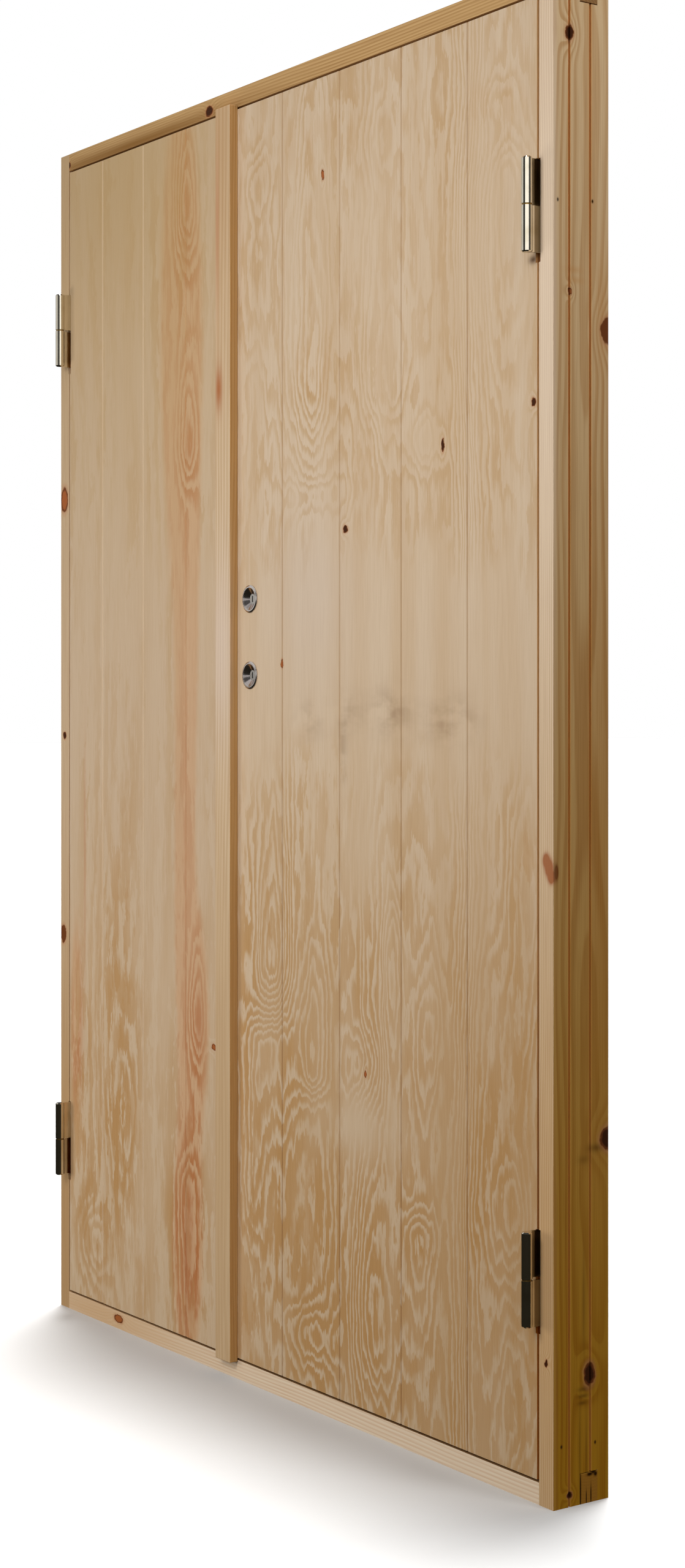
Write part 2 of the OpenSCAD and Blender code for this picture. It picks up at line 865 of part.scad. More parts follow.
hinge_pin(right, lower_hinge_z);  // right_lower_hinge_pin
hinge_leaf(right, upper_hinge_z);  // right_upper_hinge_leaf
hinge_frame(right, upper_hinge_z);  // right_upper_hinge_frame
hinge_pin(right, upper_hinge_z);  // right_upper_hinge_pin
hinge_washers();
frame_screws();
left_leaf_screws();
right_leaf_screws();
lock_case();
lock_faceplate();
dead_bolt(lock_zs[0]);  // upper_bolt
dead_bolt(lock_zs[1]);  // lower_bolt
cylinder_ring(lock_zs[0]);  // upper_ring
cylinder_ring(lock_zs[1]);  // lower_ring
lock_cylinder(lock_zs[0]);  // upper_cylinder
lock_cylinder(lock_zs[1]);  // lower_cylinder
lock_plug(lock_zs[0]);  // upper_plug
lock_plug(lock_zs[1]);  // lower_plug
strike_plate();
top_edge_bolt();
bottom_edge_bolt();
top_bolt_plate();
bottom_bolt_plate();
top_keep();
bottom_keep();
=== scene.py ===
"""Looks of the pine pair door: finishes for every piece of the frame model, light and camera."""

import math
from dataclasses import dataclass, field

import bpy
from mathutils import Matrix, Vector


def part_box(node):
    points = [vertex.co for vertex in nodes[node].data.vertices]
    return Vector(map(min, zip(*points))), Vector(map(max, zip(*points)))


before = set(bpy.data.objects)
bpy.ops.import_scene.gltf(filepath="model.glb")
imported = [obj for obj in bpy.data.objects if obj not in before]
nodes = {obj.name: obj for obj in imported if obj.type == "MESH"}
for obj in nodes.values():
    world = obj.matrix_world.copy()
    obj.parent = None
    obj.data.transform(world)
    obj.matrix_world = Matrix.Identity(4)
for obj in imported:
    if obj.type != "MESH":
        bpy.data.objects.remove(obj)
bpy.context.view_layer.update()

MM = 0.001
FAR = 1000
ENDLESS = 100 * FAR

# Camera, from the photograph's vanishing points
IMAGE_H = 2560
FOCAL_PX = 3944
HORIZON_PX = 1162.7
SENSOR = 36
CAMERA_PLACE = Vector((2.7444, -1.8462, 0.9247))
CAMERA_FORWARD = Vector((-0.81894, 0.57388, 0))

# Planes of the model that the finishes follow, in metres
front_low, front_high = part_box("right_front_panel")
frame_low, frame_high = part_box("jamb_right")
FRONT_Y = front_low.y
FRAME_FRONT_Y = frame_low.y
OUTER_X = frame_high.x
TOP_Z = frame_high.z


def linear(value):
    """One sRGB channel, 0 to 255, as linear light."""
    share = value / 255
    return share / 12.92 if share <= 0.04045 else ((share + 0.055) / 1.055) ** 2.4


def colour(red, green, blue):
    """An sRGB colour, 0 to 255, as a linear RGBA socket value."""
    return (linear(red), linear(green), linear(blue), 1)


class Graph:
    """One node tree. A value given to a socket is a number, a tuple or another node's output."""

    def __init__(self, tree):
        self.tree = tree
        tree.nodes.clear()

    def plug(self, socket, value):
        if isinstance(value, bpy.types.NodeSocket):
            self.tree.links.new(value, socket)
        else:
            socket.default_value = value

    def node(self, kind, inputs, **settings):
        made = self.tree.nodes.new("ShaderNode" + kind)
        for name, value in settings.items():
            setattr(made, name, value)
        for key, value in inputs.items():
            self.plug(made.inputs[key], value)
        return made

    def math(self, operation, *values, clamp=False):
        inputs = dict(enumerate(values))
        return self.node("Math", inputs, operation=operation, use_clamp=clamp).outputs[0]

    def vector(self, operation, *values):
        return self.node("VectorMath", dict(enumerate(values)), operation=operation).outputs["Vector"]

    def dot(self, a, b):
        return self.node("VectorMath", {0: a, 1: b}, operation="DOT_PRODUCT").outputs["Value"]

    def place(self):
        """A point of the surface in the model's own frame, in metres."""
        return self.node("TexCoord", {}).outputs["Object"]

    def normal(self):
        return self.node("NewGeometry", {}).outputs["Normal"]

    def split(self, vector):
        return self.node("SeparateXYZ", {0: vector}).outputs

    def noise(self, vector, detail=2.0, rough=0.5):
        """Noise from 0 to 1 with a grain of one unit of the vector."""
        inputs = {"Vector": vector, "Scale": 1.0, "Detail": detail, "Roughness": rough}
        return self.node("TexNoise", inputs).outputs[0]

    def scaled(self, vector, scale):
        return self.vector("MULTIPLY", vector, scale)

    def step(self, value, low, high, to_low=0.0, to_high=1.0):
        """A smooth step of value between low and high."""
        inputs = {0: value, 1: low, 2: high, 3: to_low, 4: to_high}
        return self.node("MapRange", inputs, interpolation_type="SMOOTHSTEP").outputs[0]

    def mix(self, factor, a, b, blend="MIX"):
        made = self.node("Mix", {0: factor, 6: a, 7: b}, data_type="RGBA", blend_type=blend)
        return made.outputs[2]

    def spot(self, place, centre, radii, below=None):
        """A soft spot, 1 at its centre, in millimetres. It reaches as far as below under its centre."""
        stretch = tuple(1 / (r * MM) for r in radii)
        shift = tuple(-c * MM * s for c, s in zip(centre, stretch))
        away = self.vector("MULTIPLY_ADD", place, stretch, shift)
        if below:
            upper = self.vector("MAXIMUM", away, (-FAR, -FAR, 0))
            lower = self.vector("MINIMUM", away, (FAR, FAR, 0))
            away = self.vector("MULTIPLY_ADD", lower, (0, 0, radii[2] / below), upper)
        return self.math("POWER", math.exp(-1), self.dot(away, away))

    def add_spots(self, value, place, spots):
        """value plus each spot's soft bump, where a spot is (centre, radii, height, below)."""
        for centre, radii, height, below in spots:
            value = self.math("MULTIPLY_ADD", self.spot(place, centre, radii, below), height, value)
        return value

    def ragged(self, place, grain, reach):
        """The place, pushed about by noise of a grain and a reach in millimetres."""
        fine = 1 / (grain * MM)
        inputs = {"Vector": place, "Scale": fine, "Detail": 2.0}
        push = self.node("TexNoise", inputs).outputs["Color"]
        shove = self.vector("MULTIPLY_ADD", push, (2 * reach * MM,) * 3, (-reach * MM,) * 3)
        return self.vector("ADD", place, shove)

    def bump(self, height, depth):
        return self.node("Bump", {"Height": height, "Strength": 1.0, "Distance": depth}).outputs[0]

    def surface(self, inputs):
        shader = self.node("BsdfPrincipled", inputs)
        self.node("OutputMaterial", {"Surface": shader.outputs[0]})


def new_material(name):
    made = bpy.data.materials.new(name)
    made.use_nodes = True
    return made, Graph(made.node_tree)


# Growth ring colours, from early wood through late wood
PINE_EARLY = colour(216, 191, 158)
PINE_LATE = colour(192, 154, 110)
JAMB_LATE = colour(184, 142, 94)
DULL_PINE = colour(205, 179, 147)
HEAD_EARLY = colour(202, 164, 112)
HEAD_LATE = colour(164, 120, 68)
SILL_EARLY = colour(240, 218, 190)
SILL_LATE = colour(222, 186, 148)
PLY_EARLY = colour(213, 190, 162)
PLY_LATE = colour(191, 154, 107)
PLY_TAN = colour(192, 151, 102)
RED_EARLY = colour(212, 174, 138)
RED_LATE = colour(188, 124, 78)
RED_WOOD = colour(188, 128, 88)
SMEAR = colour(158, 130, 102)

# Edges of the plies, end grain and knots
EDGE_LONG = colour(250, 192, 124)
EDGE_CROSS = colour(206, 134, 76)
EDGE_FIBRE = colour(180, 130, 82)
END_GRAIN = colour(128, 88, 48)
KNOT_DARK = colour(66, 36, 20)
KNOT_RED = colour(166, 94, 50)
KNOT_RIM = colour(112, 62, 32)

# What faces and ply edges keep of their colour at the floor, as painted shade, and all of it
LOW_WOOD_SHADE = (0.98, 0.935, 0.86, 1)
EDGE_LOW_SHADE = (0.46, 0.22, 0.04, 1)
WHITE = (1, 1, 1, 1)

WOOD_SHINE = 0.05


def ring_share(g, rings, wide=0.0):
    """Darkness of the wood over one growth ring, from narrow to wide late wood."""
    phase = g.math("FRACT", rings)
    rise_from = g.math("MULTIPLY_ADD", wide, -0.20, 0.26)
    rise_to = g.math("MULTIPLY_ADD", wide, -0.26, 0.72)
    rise = g.step(phase, rise_from, rise_to)
    fall = g.step(phase, 0.88, 1.0, 1.0, 0.0)
    return g.math("MULTIPLY", rise, fall)


def tint_spots(g, shade, place, tints):
    """Tints the wood with soft spots, each (centre, radii, colour, strength)."""
    for centre, radii, tint, strength in tints:
        factor = g.math("MULTIPLY", g.spot(place, centre, radii), strength)
        shade = g.mix(factor, shade, tint)
    return shade


def draw_knots(g, shade, place, knots):
    """Draws each knot, (centre, radii, colour): a ragged core in a dark rim and a red halo."""
    if not knots:
        return shade
    ragged = g.ragged(place, 7, 3)
    for centre, radii, tint in knots:
        near = g.spot(ragged, centre, radii)
        shade = g.mix(g.step(near, 0.03, 0.30, 0.0, 0.5), shade, RED_WOOD)
        shade = g.mix(g.step(near, 0.24, 0.38), shade, KNOT_RIM)
        shade = g.mix(g.step(near, 0.42, 0.60), shade, tint)
    return shade


def knot_swirls(knots, height):
    """Growth rings bend round each knot."""
    return [(centre, tuple(2.2 * r for r in radii), height, None) for centre, radii, _ in knots]


def flat(x, z):
    """A place on the leaves' front, in millimetres."""
    return (x, FRONT_Y / MM, z)


def sheet_radii(rx, rz):
    """Radii of a spot on a sheet: it goes right through the thickness."""
    return (rx, FAR, rz)


def swirl(x, z, rx, rz, height, below=None):
    """A hill in the rings of the veneer, which shows as nested loops, or as flames where it has a tail."""
    return (flat(x, z), sheet_radii(rx, rz), height, below)


def patch(x, z, rx, rz, tint, strength):
    return (flat(x, z), sheet_radii(rx, rz), tint, strength)


def shade_towards_floor(g, shade, z):
    """Yellows and darkens the wood towards the floor: painted shade, for the dimmer and warmer light near
    the floor.
    """
    keep = g.mix(g.step(z, 0.0, 0.62 * TOP_Z), LOW_WOOD_SHADE, WHITE)
    return g.mix(1.0, shade, keep, "MULTIPLY")


@dataclass
class Figure:
    """What one sheet of veneer shows. Its spots are soft-edged and lie on the leaves' front."""

    slope: float
    drift: float = 12.0
    waver: float = 0.0
    contrast: float = 0.6
    streaks: float = 0.30
    wide: float = 0.0
    flame: tuple = (42.0, 0.0, 11.0)
    bands: list = field(default_factory=list)
    swirls: list = field(default_factory=list)
    bold: list = field(default_factory=list)
    blotches: list = field(default_factory=list)
    red: list = field(default_factory=list)
    smears: list = field(default_factory=list)
    tints: list = field(default_factory=list)
    knots: list = field(default_factory=list)


def veneer_rings(g, place, x, fibre, figure):
    """Count of growth rings over the sheet: its contours are the lines of the figure."""
    broad = g.noise(g.scaled(place, (6.5, 0.0, 1.25)), detail=1.0, rough=0.4)
    ragged = g.noise(g.scaled(place, (75.0, 0.0, 17.0)), detail=3.0, rough=0.65)
    rings = g.math("MULTIPLY", x, figure.slope)
    for low, high, count in figure.bands:
        rings = g.math("ADD", rings, g.step(x, low * MM, high * MM, 0.0, count))
    rings = g.math("MULTIPLY_ADD", broad, figure.drift, rings)
    middling = g.noise(g.scaled(place, (21.0, 0.0, 5.0)), detail=2.0, rough=0.5)
    rings = g.math("MULTIPLY_ADD", middling, figure.waver, rings)
    rings = g.math("MULTIPLY_ADD", ragged, 1.7, rings)
    rings = g.math("MULTIPLY_ADD", fibre, 0.45, rings)
    return g.add_spots(rings, place, figure.swirls + knot_swirls(figure.knots, 2.0))


def ply_edge(g, y, z, low_y, ply, fibre):
    """Bands of long and cross plies on the edges of a sheet, browner towards the floor: the browning is
    painted shade of the gaps round the leaves.
    """
    band = g.math("FRACT", g.math("DIVIDE", g.math("SUBTRACT", y, low_y), 2 * ply))
    shade = g.mix(g.step(band, 0.48, 0.52), EDGE_LONG, EDGE_CROSS)
    shade = g.mix(g.step(fibre, 0.3, 0.7, 0.0, 0.3), shade, EDGE_FIBRE)
    # Painted shade of the gaps, deeper towards the floor
    gap_shade = g.mix(g.step(z, 0.06 * TOP_Z, 0.52 * TOP_Z), EDGE_LOW_SHADE, WHITE)
    return g.mix(1.0, shade, gap_shade, "MULTIPLY")


def veneer(name, low_y, ply, figure):
    """Rotary-cut pine veneer: contour rings on the faces and bands of plies on the edges."""
    material, g = new_material(name)
    place = g.place()
    x, y, z = g.split(place)
    fibre = g.noise(g.scaled(place, (700.0, 700.0, 20.0)), detail=2.0)
    wide = g.step(z, 0.25 * TOP_Z, 0.55 * TOP_Z, figure.wide, 0.0)
    dark = ring_share(g, veneer_rings(g, place, x, fibre, figure), wide)
    cloud = g.noise(g.scaled(place, (14.0, 0.0, 3.0)), detail=2.0)
    contrast = g.math("MULTIPLY_ADD", g.step(cloud, 0.3, 0.7), 0.5, figure.contrast - 0.25)
    contrast = g.add_spots(contrast, place, figure.bold)
    dark = g.math("MULTIPLY", dark, contrast, clamp=True)
    red = g.step(g.add_spots(0.0, g.ragged(place, 20, 4), figure.red), 0.22, 0.50)
    late = g.mix(g.step(z, 0.20 * TOP_Z, 0.55 * TOP_Z), PLY_TAN, PLY_LATE)
    shade = g.mix(dark, g.mix(red, PLY_EARLY, RED_EARLY), g.mix(red, late, RED_LATE))
    streak = g.noise(g.scaled(place, (22.0, 0.0, 1.2)), detail=3.0)
    shade = g.mix(g.step(streak, 0.35, 0.7, 0.0, figure.streaks), shade, PLY_LATE)
    flame = g.noise(g.scaled(place, figure.flame), detail=4.0, rough=0.6)
    blotched = g.add_spots(0.0, place, figure.blotches)
    blotch = g.math("MULTIPLY", g.step(flame, 0.50, 0.53), blotched, clamp=True)
    shade = g.mix(blotch, shade, PLY_TAN)
    dirt = g.noise(g.scaled(place, (20.0, 0.0, 32.0)), detail=3.0, rough=0.55)
    smeared = g.add_spots(0.0, place, figure.smears)
    smear = g.math("MULTIPLY", g.step(dirt, 0.36, 0.66), smeared, clamp=True)
    shade = g.mix(smear, shade, SMEAR)
    shade = g.mix(g.step(fibre, 0.35, 0.7, 0.0, 0.10), shade, PLY_LATE, "MULTIPLY")
    shade = shade_towards_floor(g, shade, z)
    shade = tint_spots(g, shade, place, figure.tints)
    shade = draw_knots(g, shade, place, figure.knots)
    facing = g.math("ABSOLUTE", g.split(g.normal())[1])
    shade = g.mix(g.step(facing, 0.4, 0.7), ply_edge(g, y, z, low_y, ply, fibre), shade)
    height = g.math("MULTIPLY_ADD", dark, 0.6, g.math("MULTIPLY", fibre, 0.8))
    g.surface({
        "Base Color": shade,
        "Roughness": g.step(dark, 0.0, 1.0, 0.60, 0.48),
        "Specular IOR Level": WOOD_SHINE,
        "Normal": g.bump(height, 0.06 * MM),
    })
    return material


AXES = "XYZ"

# The band of the jambs' outer faces that holds the relief grooves, in metres
GROOVE_REACH = 8 * MM
GROOVES_FROM = FRAME_FRONT_Y + 18 * MM
GROOVES_TO = FRAME_FRONT_Y + 62 * MM
BLUR = 0.5 * MM


def amber_and_shade(g, shade, face, top, bottom):
    """Browns the faces that look one way, and the walls of the jambs' grooves, more towards the floor:
    partly the wood's amber tone, partly painted shade of faces turned from the light.
    """
    place = g.place()
    _, y, z = g.split(place)
    facing = g.step(g.dot(g.normal(), face), 0.4, 0.8)
    outer = g.step(g.dot(place, face), OUTER_X - GROOVE_REACH, OUTER_X - GROOVE_REACH + BLUR)
    behind = g.step(y, GROOVES_FROM, GROOVES_FROM + BLUR)
    before = g.step(y, GROOVES_TO - BLUR, GROOVES_TO, 1.0, 0.0)
    grooves = g.math("MULTIPLY", outer, g.math("MULTIPLY", behind, before))
    facing_shade = g.math("MAXIMUM", facing, grooves)
    return g.mix(facing_shade, shade, g.mix(g.step(z, 0.0, TOP_Z), bottom, top), "MULTIPLY")


def pine(name, along, pith, ring_mm, knots=(), tints=(), early=PINE_EARLY, late=PINE_LATE, facing_shade=None,
         figure=0.65, shade_low=True):
    """A sawn pine board with its grain along one axis, and its growth rings round a pith line."""
    material, g = new_material(name)
    place = g.place()
    run = AXES.index(along)
    across = tuple(0.0 if i == run else 1.0 for i in range(3))
    lengthwise = tuple(1.1 if i == run else 7.0 for i in range(3))
    wander = g.noise(g.scaled(place, lengthwise), detail=2.0, rough=0.45)
    away = g.vector("MULTIPLY_ADD", place, across, tuple(-p * MM for p in pith))
    radius = g.math("SQRT", g.dot(away, away))
    rings = g.math("MULTIPLY_ADD", radius, 1 / (ring_mm * MM), g.math("MULTIPLY", wander, 34 / ring_mm))
    rings = g.add_spots(rings, place, knot_swirls(knots, 2.5))
    dark = ring_share(g, rings)
    fibres = tuple(10.0 if i == run else 620.0 for i in range(3))
    fibre = g.noise(g.scaled(place, fibres), detail=2.0)
    shade = g.mix(g.math("MULTIPLY", dark, g.step(wander, 0.2, 0.8, 0.25 * figure, figure)), early, late)
    shade = g.mix(g.step(fibre, 0.35, 0.75, 0.0, 0.22), shade, late, "MULTIPLY")
    if shade_low:
        shade = shade_towards_floor(g, shade, g.split(place)[2])
    if facing_shade:
        shade = amber_and_shade(g, shade, *facing_shade)
    shade = tint_spots(g, shade, place, tints)
    shade = draw_knots(g, shade, place, knots)
    end = g.step(g.math("ABSOLUTE", g.split(g.normal())[run]), 0.5, 0.8)
    shade = g.mix(g.math("MULTIPLY", end, 0.6), shade, END_GRAIN, "MULTIPLY")
    height = g.math("MULTIPLY_ADD", dark, 0.5, fibre)
    g.surface({
        "Base Color": shade,
        "Roughness": g.step(fibre, 0.2, 0.8, 0.48, 0.64),
        "Specular IOR Level": WOOD_SHINE,
        "Normal": g.bump(height, 0.1 * MM),
    })
    return material


# The grain of the metals' scratches: even, or long in one direction
EVEN_GRAIN = (900.0, 900.0, 900.0)
DRAWN_LONG = (900.0, 900.0, 60.0)
BRUSHED_LONG = (600.0, 600.0, 30.0)
BRUSHED_OUT = (40.0, 500.0, 500.0)

# Hinges keep their colour this near to the axis, in millimetres; further out their plates take painted
# shade
KNUCKLE_REACH = 9
PLATE_SHADE = (0.35, 0.31, 0.25, 1)


def metal(name, shade, smudge, rough_low, rough_high, grain=EVEN_GRAIN, axis=None):
    """Plated or polished steel, with smudges and fine scratches. Away from an axis, it is darkened with
    painted shade.
    """
    material, g = new_material(name)
    place = g.place()
    cloud = g.noise(g.scaled(place, (40.0, 40.0, 40.0)), detail=2.0)
    scratch = g.noise(g.scaled(place, grain), detail=2.0)
    base = g.mix(g.step(cloud, 0.4, 0.8, 0.0, 0.7), shade, smudge)
    if axis:
        # Painted shade on the hinge plates away from the knuckle, where they sit in the mortises
        near = g.step(g.spot(place, axis, (KNUCKLE_REACH, KNUCKLE_REACH, ENDLESS)), 0.30, 0.45)
        base = g.mix(near, g.mix(1.0, base, PLATE_SHADE, "MULTIPLY"), base)
    g.surface({
        "Base Color": base,
        "Metallic": 1.0,
        "Roughness": g.step(scratch, 0.3, 0.7, rough_low, rough_high),
        "Normal": g.bump(scratch, 0.0004 * MM),
    })
    return material


def matt(name, shade, other, rough, grain):
    """A matt surface, such as rubber or insulation board, mottled between two colours."""
    material, g = new_material(name)
    fleck = g.noise(g.scaled(g.place(), (grain, grain, grain)), detail=3.0)
    g.surface({
        "Base Color": g.mix(g.step(fleck, 0.35, 0.65), shade, other),
        "Roughness": rough,
        "Normal": g.bump(fleck, 0.05 * MM),
    })
    return material


def dress(names, material):
    """Gives the named CAD nodes one material."""
    for name in names:
        slots = nodes[name].data.materials
        slots.clear()
        slots.append(material)


# Middle of the tints that run over the whole height, and half the width of a groove's painted line
MID_HEIGHT = 900
GROOVE_LINE = 1.3

# Tints of the leaves: a painted lilac sheen, the grooves' painted shade and highlight, and amber and tan
# tones
LILAC_SHEEN = colour(206, 192, 184)
LINE_SHADE = colour(150, 116, 78)
LINE_HIGHLIGHT = colour(226, 206, 178)
AMBER_LOW = colour(178, 134, 80)
AMBER_HIGH = colour(186, 152, 98)
TAN_WOOD = colour(178, 146, 113)


def line(x, tint, strength):
    """A V groove's thin line, over the leaf's whole height: a dark tint is painted shade of the groove, a
    light one its painted highlight.
    """
    return patch(x, MID_HEIGHT, GROOVE_LINE, ENDLESS, tint, strength)


# The leaves' V grooves that show as lines, painted as shade on the active leaf and as highlight on the
# passive one: place across and strength
ACTIVE_GROOVES = [(28.5, 0.4), (163.5, 0.3), (298.5, 0.3), (433.5, 0.3)]
PASSIVE_GROOVES = [(-463, 0.75), (-342, 0.75)]

ACTIVE_FIGURE = Figure(
    slope=10.0, drift=10.0, waver=4.5, contrast=0.42, wide=0.8,
    bands=[(385, 480, 8.0), (130, 260, 4.0)],
    swirls=[
        swirl(-35, 1640, 34, 52, 4.0), swirl(-35, 1545, 48, 40, 2.5, 130),
        swirl(95, 1370, 66, 330, 6.5, 105),
        swirl(250, 1655, 42, 44, 2.0), swirl(488, 1650, 36, 38, 2.5), swirl(510, 1560, 55, 48, 4.0, 260),
        swirl(262, 1340, 58, 190, 4.0, 60), swirl(345, 1262, 46, 38, 3.0), swirl(110, 1212, 85, 22, -2.0),
        swirl(5, 590, 40, 250, -6.0, 60), swirl(105, 450, 38, 220, 5.0, 38),
        swirl(-5, 470, 70, 42, 4.0, 130),
        swirl(280, 610, 22, 75, 4.0, 160), swirl(358, 535, 30, 75, 3.5, 90), swirl(215, 470, 42, 50, -4.0),
        swirl(342, 265, 36, 44, 4.5, 260), swirl(245, 120, 52, 170, 3.5, 60),
        swirl(545, 690, 30, 130, 3.0, 200),
        swirl(520, 330, 36, 60, 3.0), swirl(540, 110, 45, 90, -3.0), swirl(-45, 280, 40, 120, 3.0, 100),
        swirl(85, 100, 70, 40, 3.0), swirl(440, 250, 30, 260, 2.0),
    ],
    bold=[
        swirl(230, 1000, 480, 130, -0.80), swirl(220, 200, 560, 380, 0.55), swirl(120, 600, 380, 170, 0.26),
        swirl(345, 1262, 46, 40, -0.5), swirl(215, 390, 100, 42, -0.55), swirl(210, 760, 60, 110, -0.3),
        swirl(95, 1350, 70, 60, 0.3), swirl(290, 960, 480, 80, -0.3),
        swirl(300, 480, 130, 260, -0.32),
    ],
    blotches=[
        swirl(55, 190, 80, 60, 0.85), swirl(-50, 280, 32, 110, 0.75), swirl(-55, 95, 30, 60, 0.6),
        swirl(100, 280, 20, 40, 0.9), swirl(540, 130, 34, 110, 0.7), swirl(5, 640, 22, 90, 0.6),
        swirl(342, 262, 16, 18, 1.2), swirl(105, 1370, 60, 42, 0.30), swirl(240, 1280, 60, 140, 0.2),
        swirl(535, 470, 26, 160, 0.6), swirl(545, 750, 20, 50, 0.5), swirl(490, 1640, 50, 50, 0.3),
        swirl(60, 1690, 160, 40, 0.2), swirl(335, 90, 40, 60, 0.5),
    ],
    smears=[
        swirl(95, 915, 34, 24, 0.45), swirl(185, 925, 30, 26, 0.4), swirl(275, 925, 40, 28, 0.65),
        swirl(400, 915, 48, 26, 0.65), swirl(172, 875, 9, 40, 0.45),
    ],
    tints=[
        # The lilac patch is a painted sheen
        patch(95, 1080, 95, 120, LILAC_SHEEN, 0.22), patch(500, 420, 200, 420, AMBER_LOW, 0.30),
        # The dark patch under the upper hinge is painted shade in the notch below its mortise
        patch(559, 1454, 8, 5, KNOT_DARK, 0.85),
    ] + [line(x, LINE_SHADE, strength) for x, strength in ACTIVE_GROOVES],
    knots=[
        (flat(177, 1162), sheet_radii(5, 5), KNOT_DARK), (flat(385, 1253), sheet_radii(3, 8), KNOT_DARK),
        (flat(222, 460), sheet_radii(2, 5), KNOT_RED), (flat(125, 1632), sheet_radii(3, 6), KNOT_RED),
        (flat(560, 1288), sheet_radii(4, 5), KNOT_DARK), (flat(28, 990), sheet_radii(3, 6), KNOT_RED),
    ],
)

PASSIVE_FIGURE = Figure(
    slope=22.0, drift=5.0, contrast=0.20, streaks=0.16, wide=0.4, flame=(58.0, 0.0, 11.0),
    swirls=[
        swirl(-218, 1640, 32, 160, 5.0, 70), swirl(-214, 1310, 28, 130, 4.0, 60),
        swirl(-188, 490, 24, 110, 4.0, 70),
        swirl(-215, 235, 30, 55, 3.0, 200), swirl(-450, 480, 40, 170, 2.0), swirl(-400, 330, 40, 110, 3.0),
        swirl(-490, 115, 48, 56, 3.5),
    ],
    bold=[
        swirl(-225, 1600, 55, 170, 0.7), swirl(-220, 1290, 50, 130, 0.6), swirl(-195, 500, 40, 150, 0.6),
        swirl(-220, 170, 50, 170, 0.8), swirl(-440, 300, 140, 340, 0.55),
    ],
    blotches=[
        swirl(-420, 500, 60, 250, 0.85), swirl(-410, 270, 50, 90, 0.85), swirl(-490, 160, 70, 110, 0.75),
        swirl(-530, 420, 24, 160, 0.7), swirl(-225, 1600, 34, 130, 0.5), swirl(-215, 150, 34, 140, 0.5),
    ],
    tints=[
        patch(-222, 1600, 12, 60, RED_WOOD, 0.35), patch(-212, 1305, 11, 26, RED_WOOD, 0.55),
        patch(-184, 480, 12, 44, RED_WOOD, 0.60), patch(-216, 150, 15, 120, RED_WOOD, 0.55),
        patch(-420, 1740, 330, 260, AMBER_HIGH, 0.62), patch(-350, 1380, 420, 300, AMBER_HIGH, 0.30),
        patch(-340, 900, 420, 420, TAN_WOOD, 0.25),
        patch(-530, 450, 8, 120, RED_WOOD, 0.35), patch(-518, 700, 3, 170, RED_WOOD, 0.45),
    ] + [line(x, LINE_HIGHLIGHT, strength) for x, strength in PASSIVE_GROOVES],
    red=[
        swirl(-235, 1480, 56, 330, 1.0), swirl(-218, 1000, 34, 330, 0.62), swirl(-228, 640, 26, 260, 0.60),
        swirl(-190, 490, 34, 150, 0.8), swirl(-216, 160, 40, 170, 1.0), swirl(-545, 450, 22, 200, 0.6),
    ],
    knots=[(flat(-145, 453), sheet_radii(6, 4), KNOT_RED)],
)
BACK_FIGURE = Figure(slope=32.0, drift=14.0, contrast=0.6)


def dress_leaves():
    ply = (front_high.y - front_low.y) / 3
    dress(["right_front_panel"], veneer("active_veneer", FRONT_Y, ply, ACTIVE_FIGURE))
    dress(["left_front_panel"], veneer("passive_veneer", FRONT_Y, ply, PASSIVE_FIGURE))
    back_low, back_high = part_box("right_back_panel")
    back_ply = (back_high.y - back_low.y) / 3
    dress(["left_back_panel", "right_back_panel"], veneer("back_veneer", back_low.y, back_ply, BACK_FIGURE))
    stiles = ["hinge_stile", "meeting_stile"]
    rails = ["top_rail", "mid_rail", "bottom_rail"]
    upright = pine("stile_pine", "Z", (0, 60, 0), 4.0)
    level = pine("rail_pine", "X", (0, 60, 0), 4.0)
    for hand in ("left", "right"):
        dress([f"{hand}_{part}" for part in stiles], upright)
        dress([f"{hand}_{part}" for part in rails], level)
    dress(["left_infill", "right_infill"],
          matt("insulation_board", colour(236, 232, 220), colour(222, 216, 200), 0.9, 400.0))


# What the browned faces keep of the pine's colour, partly amber tone and partly painted shade: the jambs'
# outer faces at the head and at the floor, the side of the cover strip, and the top of the sill
AMBER_TOP = (1.0, 0.93, 0.80, 1)
AMBER_BOTTOM = (0.70, 0.46, 0.05, 1)
STRIP_SIDE = (0.86, 0.68, 0.42, 1)
SILL_TOP_SHADE = (0.40, 0.28, 0.16, 1)

# Tints of the frame and the cover strip: stains and knots, painted light in the grooves, painted light and
# shade down the right jamb's front, and painted shade along the head and in the holes over the tenons
KERF_BROWN = colour(70, 44, 16)
KERF_AMBER = colour(240, 170, 84)
END_BROWN = colour(222, 164, 66)
PALE_PINE = colour(238, 218, 196)
RED_AMBER = colour(196, 142, 84)
OLD_AMBER = colour(176, 110, 30)
KNOT_ORANGE = colour(158, 88, 46)
KNOT_SHADE = colour(120, 66, 22)
AMBER_FOOT_SHADE = colour(204, 154, 92)
AMBER_RED = colour(184, 140, 90)
HEAD_SHADE = colour(132, 90, 40)
SILL_AMBER = colour(204, 162, 114)
STRIP_PALE = colour(226, 208, 196)
STRIP_RED = colour(176, 112, 70)

# The relief grooves of the jambs, from the front, and the middle of their depth, in millimetres
FRONT_KERF = 24
REAR_KERF = 56
KERF_MIDDLE = 4

# The middle of the sill's tenon, from the front, in millimetres
TENON_MIDDLE = 53


def side(y, z):
    """A place on the right jamb's outer face: y from the front, in millimetres."""
    return (OUTER_X / MM, FRAME_FRONT_Y / MM + y, z)


def kerf(x_sign, y):
    """Bright warm amber in a relief groove of a jamb's outer face: the groove's own warm colour, with
    painted light that lifts its shade.
    """
    centre = (x_sign * (OUTER_X / MM - KERF_MIDDLE), FRAME_FRONT_Y / MM + y, MID_HEIGHT)
    return (centre, (5.0, 1.8, ENDLESS), KERF_AMBER, 1.6)


